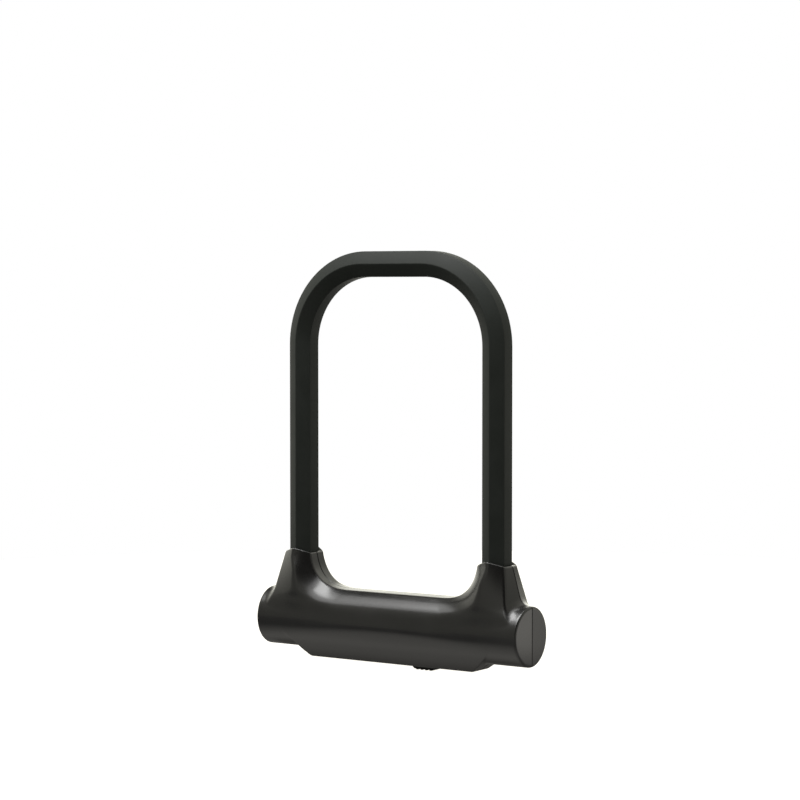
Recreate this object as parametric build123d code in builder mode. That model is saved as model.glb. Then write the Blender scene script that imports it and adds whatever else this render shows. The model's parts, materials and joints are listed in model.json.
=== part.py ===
"""U lock: a covered steel shackle, a two-shell crossbar and a disc-detainer deadbolt mechanism.

Rest pose: closed, with both deadbolts drawn back (unlocked). X runs along the crossbar, -Y is the
front face, +Z points up to the shackle's top. The origin lies below the middle of the crossbar,
level with the lowest point of the key cover's thumb tab. Sizes are in millimetres.
"""

from build123d import *
import os
from math import cos, pi, sin

# ---------------------------------------------------------------- driving dimensions
AXIS_Z = 23.1  # height of the crossbar's axis above the origin

# Shackle: a round steel bar in a hexagonal rubber cover
LEG_X = 64.65  # from the middle plane to a leg's axis
BAR_R = 6.5
COVER_ACROSS_FLATS = 14.3
COVER_EDGE_R = 0.6
COVER_GAP = 0.05  # between the bar and its cover
SHACKLE_TOP = 200.3  # the top bar's axis above the crossbar's axis
BEND_R = 44.9
FOOT_Z = -8.6  # the feet's lower ends
FOOT_CHAMFER = 1.5
COVER_END_Z = 15.0
NOTCH_DEPTH = 4.1
NOTCH_HALF_HEIGHT = 5.4

# Housing: two plastic shells that part on the XZ plane
END_X = 87.1
DRUM_R = 16.5
RIBBON_Z = 17.6  # flat top of the body between the towers
RIBBON_HALF = 6.2
CREASE = (17.0, -1.5)  # widest line of the body: (Y, Z)
KEEL = (8.0, -20.8)  # lower edge of the body: (Y, Z)
BODY_SAGITTA = 2.4
KEEL_END_X = 54.0
KEEL_END_BULGE = (63.0, -15.6)  # a point on the keel's curved end: (X, Z)
CREASE_END_X = 69.5
BODY_END_X = 76.0
SHOULDER_Z = 6.0  # where the body's end turns upright
FILLET_START_X = 28.0  # where the flat top starts to rise into a tower
RIM_Z = 37.6  # tower rim at the inner and outer faces
RIM_RIDGE_Z = 40.6  # tower rim at the front and back ridges
RIM_INNER_X = 56.0
RIM_FLAT_HALF = 5.6
RIDGE_Y = 11.0
WEB_PULL = ((48.0, 18.2), (54.7, 25.5))  # control points of the sweep into a tower: (X, Z)
# A tower's outside at two levels: inner edge, ridge and outer edge (X, Y), and the seam's X
TOWER_RIM = ((56.4, 5.9), (64.65, RIDGE_Y), (72.6, 5.2), 73.9)
TOWER_BASE = ((43.0, 6.2), (58.5, 15.6), (77.6, 12.4), 83.6)
TOWER_BASE_Z = 6.0
LEG_HOLE_GAP = 0.45
SHELL_END_WALL = 2.0
POCKET_X = -28.5  # middle of the lightening pocket in the keel
POCKET_SIZE = (29.0, 10.0, 5.0)
POCKET_FLOOR = 2.0

# Hardened tube inside the shells
TUBE_R = 13.7
TUBE_BORE_R = 10.7
TUBE_HALF = 80.0
TUBE_SEAT_GAP = 0.1
LEG_PORT_R = 6.9
PLUG_X = (73.4, 80.0)
PLUG_PIN_X = 76.7
PLUG_PIN_R = 1.25
PLUG_PIN_HALF = 13.0
PAD_X = (80.2, 84.9)
PAD_R = (7.7, 13.3)

# Nylon rings in the towers
BUSH_Z = (16.0, 24.0)
BUSH_R = 10.0

# Lock cylinder, upright in the middle of the tube, key side down
CYLINDER_R = 7.5
CYLINDER_TOP = -1.0
CYLINDER_FACE = -18.4
DRILL_PLATE = 1.5  # thickness
ROTOR_R = 5.6
ROTOR_FIT = 0.05  # radial running clearance
ROTOR_TOP = -0.3
DISC_R = 4.6
DISC_COUNT = 7
DISC_THICK = 1.2
SPACER_THICK = 0.6
KEYWAY = (5.4, 2.2)
KEYWAY_ENTRY = 0.8  # how much larger the drill plate's opening is
KEYWAY_PLATE = 1.6  # thickness
ROTOR_LIFT = 0.1  # between the rotor and the drill plate
CIRCLIP_Z = -7.0
CIRCLIP_DEPTH = 0.6
CIRCLIP_THICK = 0.9
CIRCLIP_OPENING = (4.0, 5.0)
SIDEBAR = (1.4, 1.5)  # section, along and across its radius
SIDEBAR_GAP = 0.1
SPACER_RING = 1.2  # radial width
TONGUE = (8.0, 2.0, 1.2)  # drive tongue under the cam
TONGUE_FIT = 0.05

# Scroll cam and deadbolts
BOLT_THROW = 4.0
QUARTER_TURN = pi / 2
CAM_R = 10.0
CAM_THICK = 2.8
PIN_R = 1.25
PIN_START = 3.6  # pin's distance from the cam's axis with the bolts drawn back
PIN_CLEARANCE = 0.22  # also takes up the arc's departure from a true spiral, under 0.14
ARM_Z = (3.0, 6.0)
ARM_HALF_WIDTH = 4.0
ARM_INNER_X = 1.1
BOLT_R = 5.0
BOLT_INNER_X = 30.0
BOLT_TIP_X = 57.7
BOLT_NOSE = 0.6  # chamfer
ARM_OVERLAP = 4.0  # how far an arm runs into its bolt
PIN_END_GAP = 0.3
GUIDE_X = (39.0, 57.0)
GUIDE_GAP = 0.1

# Sliding key cover under the keel
TRACK_X = (-11.6, 43.4)
TRACK_HALF = 6.6
TRACK_TOP = -18.4
CHANNEL_Z = (-20.2, -19.0)
CHANNEL_HALF = 5.1
WINDOW_HALF = 4.0
COVER_X = (-8.2, 27.2)
COVER_TRAVEL = 12.0
COVER_THICK = 1.0
COVER_CLEARANCE = 0.2
TAB_X = (11.5, 27.2)
TAB_SLOPE = 2.0
TAB_RIM = 0.9  # height of the tab's outer edge above its lowest point
TAB_LIP = 0.8  # depth of the tab's inner edge below the cover's plate
RIB_COUNT = 4
RIB_HEIGHT = 0.5
RIB_SHARE = 0.45  # rib width over rib pitch
RIB_INSET = 0.4

# Screws that hold the shells together, from the rear
UPPER_SCREW = (50.0, 18.2)
LOWER_SCREW = (48.6, -17.2)
SCREW_R = 1.25
SCREW_HEAD_R = 2.4
SCREW_HEAD_HEIGHT = 2.2
SCREW_HEAD_SEAT = 3.6  # Y of the face under the head
SCREW_TIP = 4.0  # depth into the front shell
SCREW_GAP = (0.15, 0.3)  # radial, round the shank and round the head
SOCKET = (1.15, 1.2)  # corner radius and depth
INSERT_R = 2.0
INSERT_LENGTH = 5.0

# Planes through the middle of the crossbar's axis
LEVEL = Plane.XY.offset(AXIS_Z)
FRONT = Plane(origin=(0, 0, AXIS_Z), x_dir=(1, 0, 0), z_dir=(0, -1, 0))
SIDE = Plane(origin=(0, 0, AXIS_Z), x_dir=(0, 1, 0), z_dir=(1, 0, 0))


def save(builder, label):
    """Label a finished piece and write its STEP file."""
    builder.part.label = label
    export_step(builder.part, f"parts/{label}.step")


# ---------------------------------------------------------------- shackle
def make_shackle_bar():
    with BuildPart() as bar:
        with BuildLine(FRONT) as path:
            FilletPolyline(
                (-LEG_X, FOOT_Z), (-LEG_X, SHACKLE_TOP), (LEG_X, SHACKLE_TOP), (LEG_X, FOOT_Z),
                radius=BEND_R,
            )
        with BuildSketch(LEVEL.offset(FOOT_Z)):
            with Locations((-LEG_X, 0)):
                Circle(BAR_R)
        sweep(path=path.wire())
        chamfer(bar.edges().group_by(Axis.Z)[0], FOOT_CHAMFER)
        # A notch on the inner side of each foot takes a deadbolt.
        notch_x = LEG_X - BAR_R + NOTCH_DEPTH / 2 - 1
        with BuildSketch(FRONT):
            with Locations((-notch_x, 0), (notch_x, 0)):
                Rectangle(NOTCH_DEPTH + 2, 2 * NOTCH_HALF_HEIGHT)
        extrude(amount=BAR_R + 1, both=True, mode=Mode.SUBTRACT)
    save(bar, "shackle_bar")


def make_shackle_cover():
    with BuildPart() as cover:
        with BuildLine(FRONT) as path:
            FilletPolyline(
                (-LEG_X, COVER_END_Z), (-LEG_X, SHACKLE_TOP), (LEG_X, SHACKLE_TOP), (LEG_X, COVER_END_Z),
                radius=BEND_R,
            )
        with BuildSketch(LEVEL.offset(COVER_END_Z)) as section:
            with Locations((-LEG_X, 0)):
                RegularPolygon(COVER_ACROSS_FLATS / 2, 6, major_radius=False, rotation=30)
            fillet(section.vertices(), COVER_EDGE_R)
            with Locations((-LEG_X, 0)):
                Circle(BAR_R + COVER_GAP, mode=Mode.SUBTRACT)
        sweep(path=path.wire())
    save(cover, "shackle_cover")


# ---------------------------------------------------------------- housing shells
def tower_section(level, side, edges):
    """One level of a tower's outside, on the left (-1) or right (1)."""
    *corners, seam_x = edges
    rear = [(side * x, y) for x, y in corners]
    front = [(x, -y) for x, y in reversed(rear)]
    with BuildSketch(LEVEL.offset(level)) as section:
        with BuildLine():
            Polyline(*rear, (side * seam_x, 0), *front, close=True)
        make_face()
    return section.sketch


def screw_points():
    """X and Z of the four shell screws."""
    return [(side * x, z) for x, z in (UPPER_SCREW, LOWER_SCREW) for side in (-1, 1)]


def make_housing():
    """Both shells as one solid, before they are parted."""
    with BuildPart() as housing:
        # Body: a convex front and back, a crease at the widest line and a tapered keel below it.
        with BuildSketch(SIDE):
            with BuildLine():
                Line((0, RIBBON_Z), (RIBBON_HALF, RIBBON_Z))
                SagittaArc((RIBBON_HALF, RIBBON_Z), CREASE, BODY_SAGITTA)
                Line(CREASE, KEEL)
                Line(KEEL, (0, KEEL[1]))
                mirror(about=Plane.YZ)
            make_face()
        extrude(amount=BODY_END_X, both=True)
        with BuildSketch(FRONT):
            with BuildLine():
                Line((0, KEEL[1]), (KEEL_END_X, KEEL[1]))
                Spline((KEEL_END_X, KEEL[1]), KEEL_END_BULGE, (CREASE_END_X, CREASE[1]))
                Line((CREASE_END_X, CREASE[1]), (BODY_END_X, SHOULDER_Z))
                Line((BODY_END_X, SHOULDER_Z), (BODY_END_X, RIBBON_Z))
                Line((BODY_END_X, RIBBON_Z), (0, RIBBON_Z))
                mirror(about=Plane.YZ)
            make_face()
        extrude(amount=CREASE[0] + 1, both=True, mode=Mode.INTERSECT)
        # Web: the flat top sweeps up into the towers' inner faces.
        with BuildSketch(FRONT):
            with BuildLine():
                Line((FILLET_START_X, 0), (FILLET_START_X, RIBBON_Z))
                Bezier((FILLET_START_X, RIBBON_Z), *WEB_PULL, (RIM_INNER_X, RIM_Z))
                Line((RIM_INNER_X, RIM_Z), (LEG_X, RIM_Z))
                Line((LEG_X, RIM_Z), (LEG_X, 0))
                Line((LEG_X, 0), (FILLET_START_X, 0))
            make_face()
            mirror(about=Plane.YZ)
        extrude(amount=RIBBON_HALF, both=True)
        # Towers: hexagonal skirts that flare downward.
        for side in (-1, 1):
            rim = tower_section(RIM_RIDGE_Z, side, TOWER_RIM)
            base = tower_section(TOWER_BASE_Z, side, TOWER_BASE)
            loft([base, rim], ruled=True)
        # Drum: the round ends of the crossbar.
        with BuildSketch(SIDE):
            Circle(DRUM_R)
        extrude(amount=END_X, both=True)
        # The rim drops from the ridges to the inner and outer faces.
        clear_y = RIDGE_Y + 10
        clear_z = RIM_RIDGE_Z + 10
        with BuildSketch(SIDE):
            with BuildLine():
                Polyline(
                    (0, RIM_Z), (RIM_FLAT_HALF, RIM_Z), (RIDGE_Y, RIM_RIDGE_Z), (clear_y, RIM_RIDGE_Z),
                    (clear_y, clear_z), (0, clear_z), close=True,
                )
            make_face()
            mirror(about=Plane.YZ)
        extrude(amount=END_X, both=True, mode=Mode.SUBTRACT)
        # Inside: the tube's seat, the end pads' seats and the cylinder's well.
        with BuildSketch(SIDE):
            Circle(TUBE_R + TUBE_SEAT_GAP)
        extrude(amount=END_X - SHELL_END_WALL, both=True, mode=Mode.SUBTRACT)
        with BuildSketch(LEVEL):
            Circle(CYLINDER_R + TUBE_SEAT_GAP)
        extrude(amount=TRACK_TOP, mode=Mode.SUBTRACT)
        with BuildSketch(LEVEL):
            with Locations((-LEG_X, 0), (LEG_X, 0)):
                RegularPolygon(
                    COVER_ACROSS_FLATS / 2 + LEG_HOLE_GAP, 6, major_radius=False, rotation=30
                )
        extrude(amount=RIM_RIDGE_Z + 1, mode=Mode.SUBTRACT)
        with BuildSketch(LEVEL.offset(BUSH_Z[0])):
            with Locations((-LEG_X, 0), (LEG_X, 0)):
                Circle(BUSH_R + TUBE_SEAT_GAP)
        extrude(amount=BUSH_Z[1] - BUSH_Z[0], mode=Mode.SUBTRACT)
        # Slot in the keel for the key cover's track, and a lightening pocket beside it.
        track_middle = (TRACK_X[0] + TRACK_X[1]) / 2
        with BuildSketch(LEVEL.offset(KEEL[1])):
            with Locations((track_middle, 0)):
                Rectangle(TRACK_X[1] - TRACK_X[0], 2 * TRACK_HALF)
        extrude(amount=TRACK_TOP - KEEL[1], mode=Mode.SUBTRACT)
        with BuildSketch(LEVEL.offset(KEEL[1] + POCKET_FLOOR)):
            with Locations((POCKET_X, 0)):
                Rectangle(POCKET_SIZE[0], POCKET_SIZE[1])
        extrude(amount=POCKET_SIZE[2], mode=Mode.SUBTRACT)
    return housing.part


def make_shells():
    housing = make_housing()
    with BuildPart() as front_shell:
        add(housing)
        split(bisect_by=Plane.XZ, keep=Keep.TOP)
        # Seats of the threaded inserts, open at the parting plane.
        with BuildSketch(FRONT):
            with Locations(*screw_points()):
                Circle(INSERT_R)
        extrude(amount=INSERT_LENGTH, mode=Mode.SUBTRACT)
    save(front_shell, "front_shell")
    with BuildPart() as rear_shell:
        add(housing)
        split(bisect_by=Plane.XZ, keep=Keep.BOTTOM)
        with BuildSketch(FRONT):
            with Locations(*screw_points()):
                Circle(SCREW_R + SCREW_GAP[0])
        extrude(amount=-SCREW_HEAD_SEAT, mode=Mode.SUBTRACT)
        with BuildSketch(FRONT.offset(-SCREW_HEAD_SEAT)):
            with Locations(*screw_points()):
                Circle(SCREW_HEAD_R + SCREW_GAP[1])
        extrude(amount=-CREASE[0], mode=Mode.SUBTRACT)
    save(rear_shell, "rear_shell")


def make_shell_screws():
    """Four socket-head screws that enter from the rear and end in the front shell's inserts."""
    with BuildPart() as screws:
        with BuildSketch(FRONT.offset(-SCREW_HEAD_SEAT)):
            with Locations(*screw_points()):
                Circle(SCREW_HEAD_R)
        extrude(amount=-SCREW_HEAD_HEIGHT)
        with BuildSketch(FRONT.offset(-SCREW_HEAD_SEAT)):
            with Locations(*screw_points()):
                Circle(SCREW_R)
        extrude(amount=SCREW_HEAD_SEAT + SCREW_TIP)
        with BuildSketch(FRONT.offset(-SCREW_HEAD_SEAT - SCREW_HEAD_HEIGHT)):
            with Locations(*screw_points()):
                RegularPolygon(SOCKET[0], 6)
        extrude(amount=SOCKET[1], mode=Mode.SUBTRACT)
    save(screws, "shell_screws")


def make_shell_inserts():
    with BuildPart() as inserts:
        with BuildSketch(FRONT):
            with Locations(*screw_points()):
                Circle(INSERT_R)
                Circle(SCREW_R, mode=Mode.SUBTRACT)
        extrude(amount=INSERT_LENGTH)
    save(inserts, "shell_inserts")


# ---------------------------------------------------------------- tube and what is fixed in it
def make_crossbar_tube():
    with BuildPart() as tube:
        with BuildSketch(SIDE):
            Circle(TUBE_R)
            Circle(TUBE_BORE_R, mode=Mode.SUBTRACT)
        extrude(amount=TUBE_HALF, both=True)
        with BuildSketch(LEVEL):
            with Locations((-LEG_X, 0), (LEG_X, 0)):
                Circle(LEG_PORT_R)
        extrude(amount=TUBE_R + 1, mode=Mode.SUBTRACT)
        with BuildSketch(LEVEL):
            Circle(CYLINDER_R + TUBE_SEAT_GAP)
        extrude(amount=-TUBE_R - 1, mode=Mode.SUBTRACT)
        with BuildSketch(LEVEL):
            with Locations((-PLUG_PIN_X, 0), (PLUG_PIN_X, 0)):
                Circle(PLUG_PIN_R)
        extrude(amount=TUBE_R + 1, both=True, mode=Mode.SUBTRACT)
    save(tube, "crossbar_tube")


def make_tube_ends():
    """A steel plug in each end of the tube, its cross pin, and a rubber pad behind the end wall."""
    for side, word in ((-1, "left"), (1, "right")):
        with BuildPart() as plug:
            with BuildSketch(SIDE.offset(side * PLUG_X[0])):
                Circle(TUBE_BORE_R)
            extrude(amount=side * (PLUG_X[1] - PLUG_X[0]))
            with BuildSketch(LEVEL):
                with Locations((side * PLUG_PIN_X, 0)):
                    Circle(PLUG_PIN_R)
            extrude(amount=TUBE_R, both=True, mode=Mode.SUBTRACT)
        save(plug, f"{word}_tube_plug")
        with BuildPart() as pad:
            with BuildSketch(SIDE.offset(side * PAD_X[0])):
                Circle(PAD_R[1])
                Circle(PAD_R[0], mode=Mode.SUBTRACT)
            extrude(amount=side * (PAD_X[1] - PAD_X[0]))
        save(pad, f"{word}_end_pad")
    with BuildPart() as pins:
        with BuildSketch(LEVEL):
            with Locations((-PLUG_PIN_X, 0), (PLUG_PIN_X, 0)):
                Circle(PLUG_PIN_R)
        extrude(amount=PLUG_PIN_HALF, both=True)
    save(pins, "plug_pins")


def make_entry_bushes():
    """Nylon rings in the towers that steer the covered legs."""
    for side, word in ((-1, "left"), (1, "right")):
        with BuildPart() as bush:
            with BuildSketch(LEVEL.offset(BUSH_Z[0])):
                with Locations((side * LEG_X, 0)):
                    Circle(BUSH_R)
                    RegularPolygon(
                        COVER_ACROSS_FLATS / 2 + LEG_HOLE_GAP, 6, major_radius=False, rotation=30,
                        mode=Mode.SUBTRACT,
                    )
            extrude(amount=BUSH_Z[1] - BUSH_Z[0])
        save(bush, f"{word}_entry_bush")


def make_bolt_guides():
    """Blocks pressed into the tube beside each leg, bored for the deadbolts."""
    for side, word in ((-1, "left"), (1, "right")):
        with BuildPart() as guide:
            with BuildSketch(SIDE.offset(side * GUIDE_X[0])):
                Circle(TUBE_BORE_R)
                Circle(BOLT_R + GUIDE_GAP, mode=Mode.SUBTRACT)
            extrude(amount=side * (GUIDE_X[1] - GUIDE_X[0]))
        save(guide, f"{word}_bolt_guide")


# ---------------------------------------------------------------- lock cylinder
def make_cylinder():
    plate_top = CYLINDER_FACE + DRILL_PLATE
    with BuildPart() as body:
        with BuildSketch(LEVEL.offset(plate_top)):
            Circle(CYLINDER_R)
            Circle(ROTOR_R + ROTOR_FIT, mode=Mode.SUBTRACT)
        extrude(amount=CYLINDER_TOP - plate_top)
        # Groove for the circlip.
        with BuildSketch(LEVEL.offset(CIRCLIP_Z)):
            Circle(CYLINDER_R + 1)
            Circle(CYLINDER_R - CIRCLIP_DEPTH, mode=Mode.SUBTRACT)
        extrude(amount=CIRCLIP_THICK + 0.1, mode=Mode.SUBTRACT)
    save(body, "cylinder_body")
    with BuildPart() as clip:
        with BuildSketch(LEVEL.offset(CIRCLIP_Z)):
            Circle(CYLINDER_R + CIRCLIP_DEPTH)
            Circle(CYLINDER_R - CIRCLIP_DEPTH, mode=Mode.SUBTRACT)
            with Locations((CYLINDER_R, 0)):
                Rectangle(*CIRCLIP_OPENING, mode=Mode.SUBTRACT)
        extrude(amount=CIRCLIP_THICK)
    save(clip, "cylinder_circlip")
    with BuildPart() as plate:
        with BuildSketch(LEVEL.offset(CYLINDER_FACE)):
            Circle(CYLINDER_R)
            Rectangle(KEYWAY[0] + KEYWAY_ENTRY, KEYWAY[1] + KEYWAY_ENTRY, mode=Mode.SUBTRACT)
        extrude(amount=DRILL_PLATE)
    save(plate, "drill_plate")


def make_rotor():
    """The turning part of the cylinder: a barrel with a disc stack, a sidebar and a keyway plate."""
    bottom = CYLINDER_FACE + DRILL_PLATE + ROTOR_LIFT
    stack_bottom = bottom + KEYWAY_PLATE
    stack_top = stack_bottom + DISC_COUNT * DISC_THICK + (DISC_COUNT - 1) * SPACER_THICK
    slot_width = SIDEBAR[1] + SIDEBAR_GAP
    notch = (SIDEBAR[0] + 2 * SIDEBAR_GAP, slot_width + 2 * SIDEBAR_GAP)
    with BuildPart() as barrel:
        with BuildSketch(LEVEL.offset(bottom)):
            Circle(ROTOR_R)
        extrude(amount=ROTOR_TOP - bottom)
        with BuildSketch(LEVEL.offset(bottom)):
            Circle(DISC_R)
        extrude(amount=stack_top - bottom, mode=Mode.SUBTRACT)
        # Slot for the sidebar, and a drive slot across the top.
        with BuildSketch(LEVEL.offset(stack_bottom)):
            with Locations(((DISC_R + ROTOR_R) / 2, 0)):
                Rectangle(2 * (ROTOR_R - DISC_R), slot_width)
        extrude(amount=stack_top - stack_bottom, mode=Mode.SUBTRACT)
        with BuildSketch(LEVEL.offset(ROTOR_TOP - TONGUE[2])):
            Rectangle(2 * ROTOR_R + 1, TONGUE[1])
        extrude(amount=TONGUE[2], mode=Mode.SUBTRACT)
    save(barrel, "rotor_barrel")
    with BuildPart() as keyway_plate:
        with BuildSketch(LEVEL.offset(bottom)):
            Circle(DISC_R)
            Rectangle(*KEYWAY, mode=Mode.SUBTRACT)
        extrude(amount=KEYWAY_PLATE)
    save(keyway_plate, "keyway_plate")
    pitch = DISC_THICK + SPACER_THICK
    with BuildPart() as discs:
        for i in range(DISC_COUNT):
            with BuildSketch(LEVEL.offset(stack_bottom + i * pitch)):
                Circle(DISC_R - SIDEBAR_GAP)
                Rectangle(*KEYWAY, mode=Mode.SUBTRACT)
                with Locations((DISC_R, 0)):
                    Rectangle(*notch, mode=Mode.SUBTRACT)
            extrude(amount=DISC_THICK)
    save(discs, "lock_discs")
    with BuildPart() as spacers:
        for i in range(DISC_COUNT - 1):
            with BuildSketch(LEVEL.offset(stack_bottom + i * pitch + DISC_THICK)):
                Circle(DISC_R - SIDEBAR_GAP)
                Circle(DISC_R - SIDEBAR_GAP - SPACER_RING, mode=Mode.SUBTRACT)
                with Locations((DISC_R, 0)):
                    Rectangle(*notch, mode=Mode.SUBTRACT)
            extrude(amount=SPACER_THICK)
    save(spacers, "disc_spacers")
    with BuildPart() as sidebar:
        with BuildSketch(LEVEL.offset(stack_bottom)):
            with Locations((DISC_R, 0)):
                Rectangle(*SIDEBAR)
        extrude(amount=stack_top - stack_bottom - 2 * SIDEBAR_GAP)
    save(sidebar, "sidebar")


# ---------------------------------------------------------------- cam and deadbolts
def scroll_point(turn):
    """Where the right-hand pin stands in the cam, after the cam has turned by turn (radians)."""
    radius = PIN_START + BOLT_THROW * turn / QUARTER_TURN
    return radius * cos(-turn), radius * sin(-turn)


def make_cam_disc():
    with BuildPart() as cam:
        with BuildSketch(LEVEL.offset(ROTOR_TOP)):
            Circle(CAM_R)
            scroll = ThreePointArc(
                scroll_point(0), scroll_point(QUARTER_TURN / 2), scroll_point(QUARTER_TURN),
                mode=Mode.PRIVATE,
            )
            SlotArc(scroll, 2 * (PIN_R + PIN_CLEARANCE), mode=Mode.SUBTRACT)
            SlotArc(scroll, 2 * (PIN_R + PIN_CLEARANCE), rotation=180, mode=Mode.SUBTRACT)
        extrude(amount=CAM_THICK)
        # Tongue that the rotor drives.
        with BuildSketch(LEVEL.offset(ROTOR_TOP)):
            Rectangle(TONGUE[0], TONGUE[1] - TONGUE_FIT)
        extrude(amount=-TONGUE[2])
    save(cam, "cam_disc")


def make_bolts():
    for side, word in ((-1, "left"), (1, "right")):
        with BuildPart() as bolt:
            with BuildSketch(SIDE.offset(side * BOLT_INNER_X)):
                Circle(BOLT_R)
            extrude(amount=side * (BOLT_TIP_X - BOLT_INNER_X))
            nose = bolt.faces().sort_by(Axis.X)[0 if side < 0 else -1]
            chamfer(nose.edges(), BOLT_NOSE)
            arm_end = BOLT_INNER_X + ARM_OVERLAP
            with BuildSketch(LEVEL.offset(ARM_Z[0])):
                with Locations((side * (ARM_INNER_X + arm_end) / 2, 0)):
                    Rectangle(arm_end - ARM_INNER_X, 2 * ARM_HALF_WIDTH)
            extrude(amount=ARM_Z[1] - ARM_Z[0])
            with BuildSketch(LEVEL.offset(ARM_Z[0])):
                with Locations((side * PIN_START, 0)):
                    Circle(PIN_R)
            extrude(amount=ARM_Z[1] - ARM_Z[0], mode=Mode.SUBTRACT)
        save(bolt, f"{word}_bolt")
        with BuildPart() as pin:
            with BuildSketch(LEVEL.offset(ARM_Z[1])):
                with Locations((side * PIN_START, 0)):
                    Circle(PIN_R)
            extrude(amount=ROTOR_TOP + PIN_END_GAP - ARM_Z[1])
        save(pin, f"{word}_bolt_pin")


# ---------------------------------------------------------------- key cover
def make_cover_track():
    middle = (TRACK_X[0] + TRACK_X[1]) / 2
    channel = (COVER_X[0] - COVER_CLEARANCE, COVER_X[1] + COVER_TRAVEL + COVER_CLEARANCE)
    channel_middle = (channel[0] + channel[1]) / 2
    with BuildPart() as track:
        with BuildSketch(LEVEL.offset(KEEL[1])):
            with Locations((middle, 0)):
                Rectangle(TRACK_X[1] - TRACK_X[0], 2 * TRACK_HALF)
        extrude(amount=TRACK_TOP - KEEL[1])
        with BuildSketch(LEVEL.offset(CHANNEL_Z[0])):
            with Locations((channel_middle, 0)):
                Rectangle(channel[1] - channel[0], 2 * CHANNEL_HALF)
        extrude(amount=CHANNEL_Z[1] - CHANNEL_Z[0], mode=Mode.SUBTRACT)
        with BuildSketch(LEVEL.offset(KEEL[1])):
            with Locations((channel_middle, 0)):
                Rectangle(channel[1] - channel[0], 2 * WINDOW_HALF)
        extrude(amount=CHANNEL_Z[1] - KEEL[1], mode=Mode.SUBTRACT)
        with BuildSketch(LEVEL.offset(CHANNEL_Z[1])):
            Circle(WINDOW_HALF)
        extrude(amount=TRACK_TOP - CHANNEL_Z[1], mode=Mode.SUBTRACT)
    save(track, "cover_track")


def make_key_cover():
    """A sliding plate over the keyway with a ribbed thumb tab that hangs below the keel."""
    plate_bottom = (CHANNEL_Z[0] + CHANNEL_Z[1] - COVER_THICK) / 2
    tab_bottom = -AXIS_Z + RIB_HEIGHT
    rib_pitch = (TAB_X[1] - TAB_X[0] - 2 * TAB_SLOPE) / RIB_COUNT
    with BuildPart() as cover:
        with BuildSketch(LEVEL.offset(plate_bottom)):
            with Locations(((COVER_X[0] + COVER_X[1]) / 2, 0)):
                Rectangle(COVER_X[1] - COVER_X[0], 2 * (CHANNEL_HALF - COVER_CLEARANCE))
        extrude(amount=COVER_THICK)
        with BuildSketch(FRONT):
            with BuildLine():
                Polyline(
                    (TAB_X[0], plate_bottom), (TAB_X[1], plate_bottom), (TAB_X[1], -AXIS_Z + TAB_RIM),
                    (TAB_X[1] - TAB_SLOPE / 2, tab_bottom), (TAB_X[0] + TAB_SLOPE, tab_bottom),
                    (TAB_X[0], plate_bottom - TAB_LIP), close=True,
                )
            make_face()
        extrude(amount=WINDOW_HALF - COVER_CLEARANCE, both=True)
        with BuildSketch(FRONT):
            for i in range(RIB_COUNT):
                with Locations((TAB_X[0] + TAB_SLOPE + (i + 0.5) * rib_pitch, tab_bottom)):
                    Rectangle(rib_pitch * RIB_SHARE, 2 * RIB_HEIGHT)
        extrude(amount=WINDOW_HALF - COVER_CLEARANCE - RIB_INSET, both=True)
    save(cover, "key_cover")


os.makedirs("parts", exist_ok=True)
make_shackle_bar()
make_shackle_cover()
make_shells()
make_shell_screws()
make_shell_inserts()
make_crossbar_tube()
make_tube_ends()
make_entry_bushes()
make_bolt_guides()
make_cylinder()
make_rotor()
make_cam_disc()
make_bolts()
make_cover_track()
make_key_cover()
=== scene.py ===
"""Looks of the U lock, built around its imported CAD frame.

Lengths in the geometry code are millimetres, measured from the middle of the crossbar's axis, as
in the CAD model: X along the crossbar, -Y to the front, Z up. make_mesh turns them into metres.
"""

import json
import math

import bmesh
import bpy
import numpy as np
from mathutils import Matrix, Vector


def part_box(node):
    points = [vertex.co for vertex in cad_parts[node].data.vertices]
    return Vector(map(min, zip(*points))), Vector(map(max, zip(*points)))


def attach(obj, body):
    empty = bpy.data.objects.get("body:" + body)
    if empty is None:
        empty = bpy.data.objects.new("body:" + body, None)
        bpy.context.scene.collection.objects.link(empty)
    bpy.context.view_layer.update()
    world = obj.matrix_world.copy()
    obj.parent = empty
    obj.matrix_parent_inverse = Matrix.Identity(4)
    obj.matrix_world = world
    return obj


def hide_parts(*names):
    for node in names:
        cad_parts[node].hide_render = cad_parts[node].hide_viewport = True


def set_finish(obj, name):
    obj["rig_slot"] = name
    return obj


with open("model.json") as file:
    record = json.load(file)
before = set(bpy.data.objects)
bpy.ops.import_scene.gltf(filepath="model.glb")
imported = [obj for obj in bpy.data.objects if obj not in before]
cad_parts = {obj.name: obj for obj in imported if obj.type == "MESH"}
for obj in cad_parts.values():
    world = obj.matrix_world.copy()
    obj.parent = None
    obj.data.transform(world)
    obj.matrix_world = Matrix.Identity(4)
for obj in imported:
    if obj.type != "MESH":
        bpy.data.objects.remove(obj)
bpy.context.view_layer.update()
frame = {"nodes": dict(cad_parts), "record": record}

MM = 0.001

# ---------------------------------------------------------------- sizes read from the frame


def node_box(node):
    """A CAD node's lowest and highest corners in millimetres, from the crossbar's axis."""
    low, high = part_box(node)
    shift = Vector((0, 0, AXIS_Z))
    return (low - shift) / MM, (high - shift) / MM


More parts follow.
